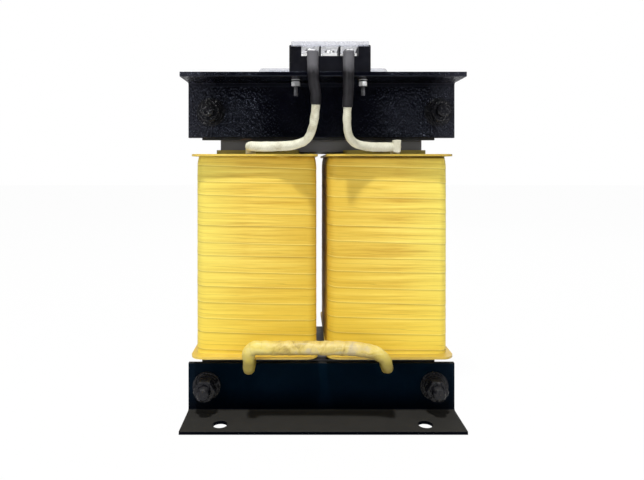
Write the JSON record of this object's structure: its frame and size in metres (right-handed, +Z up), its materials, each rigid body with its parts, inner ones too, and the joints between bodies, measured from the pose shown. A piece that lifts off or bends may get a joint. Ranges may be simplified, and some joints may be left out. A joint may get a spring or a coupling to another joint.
{
  "type": "dry type transformer",
  "caption": "Open-frame dry type transformer: taped coils on a laminated core, clamped between steel angle bars, with terminal blocks on top.",
  "frame": {"origin": "middle of the footprint, on the ground, at the centre of the four foot holes", "axes": "+X to the right seen from the front, +Z up, and the front with the three-pole terminal block faces -Y"},
  "size_m": [0.266, 0.2164, 0.3668],
  "materials": {
    "bar_plating": "nickel plated brass",
    "barrier": "cream insulating paper board",
    "block_body": "black moulded phenolic, satin",
    "bolt_paint": "gloss black paint over steel fasteners",
    "clear_cover": "clear polycarbonate, glossy",
    "coil_tape": "varnished yellow insulating tape, glossy",
    "copper": "bare copper",
    "core_steel": "dark grey lacquered lamination steel, satin",
    "end_board": "varnished yellow insulating board",
    "former_board": "olive yellow glass-cloth laminate",
    "frame_paint": "gloss black paint with an orange-peel surface",
    "heatshrink": "black heat-shrink tube, satin",
    "insulating_sleeve": "dark bakelised paper tube",
    "jumper_tape": "cream yellow insulating tape, satin",
    "sleeve": "cream silicone sleeve, satin",
    "strip_board": "dark brown laminated packing board",
    "winding": "enamelled copper, satin",
    "zinc": "bright zinc plated steel"
  },
  "bodies": {
    "root": {"clamp_bolts": "bolt_paint", "clamp_fibre_washers": "bolt_paint", "clamp_nuts": "bolt_paint", "clamp_sleeves": "insulating_sleeve", "clamp_spring_washers": "bolt_paint", "clamp_steel_washers": "bolt_paint", "core_left_limb": "core_steel", "core_lower_yoke": "core_steel", "core_right_limb": "core_steel", "core_upper_yoke": "core_steel", "front_mounting_nuts": "zinc", "front_mounting_screws": "zinc", "front_mounting_washers": "zinc", "front_terminal_bars": "bar_plating", "front_terminal_base": "block_body", "front_terminal_cover": "clear_cover", "front_terminal_plates": "zinc", "front_terminal_screws": "zinc", "jumper_conductor": "copper", "jumper_tape": "jumper_tape", "left_barrier": "barrier", "left_coil_wrap": "coil_tape", "left_former": "former_board", "left_inner_winding": "winding", "left_lead_conductor": "copper", "left_lead_heatshrink": "heatshrink", "left_lead_lug": "zinc", "left_lead_sleeve": "sleeve", "left_lower_board": "end_board", "left_outer_winding": "winding", "left_upper_board": "end_board", "lower_front_angle": "frame_paint", "lower_front_strip": "strip_board", "lower_rear_angle": "frame_paint", "lower_rear_strip": "strip_board", "rear_mounting_nuts": "zinc", "rear_mounting_screws": "zinc", "rear_mounting_washers": "zinc", "rear_terminal_bars": "bar_plating", "rear_terminal_base": "block_body", "rear_terminal_cover": "clear_cover", "rear_terminal_plates": "zinc", "rear_terminal_screws": "zinc", "right_barrier": "barrier", "right_coil_wrap": "coil_tape", "right_former": "former_board", "right_inner_winding": "winding", "right_lead_conductor": "copper", "right_lead_heatshrink": "heatshrink", "right_lead_lug": "zinc", "right_lead_sleeve": "sleeve", "right_lower_board": "end_board", "right_outer_winding": "winding", "right_upper_board": "end_board", "upper_front_angle": "frame_paint", "upper_front_strip": "strip_board", "upper_rear_angle": "frame_paint", "upper_rear_strip": "strip_board"}
  },
  "joints": []
}
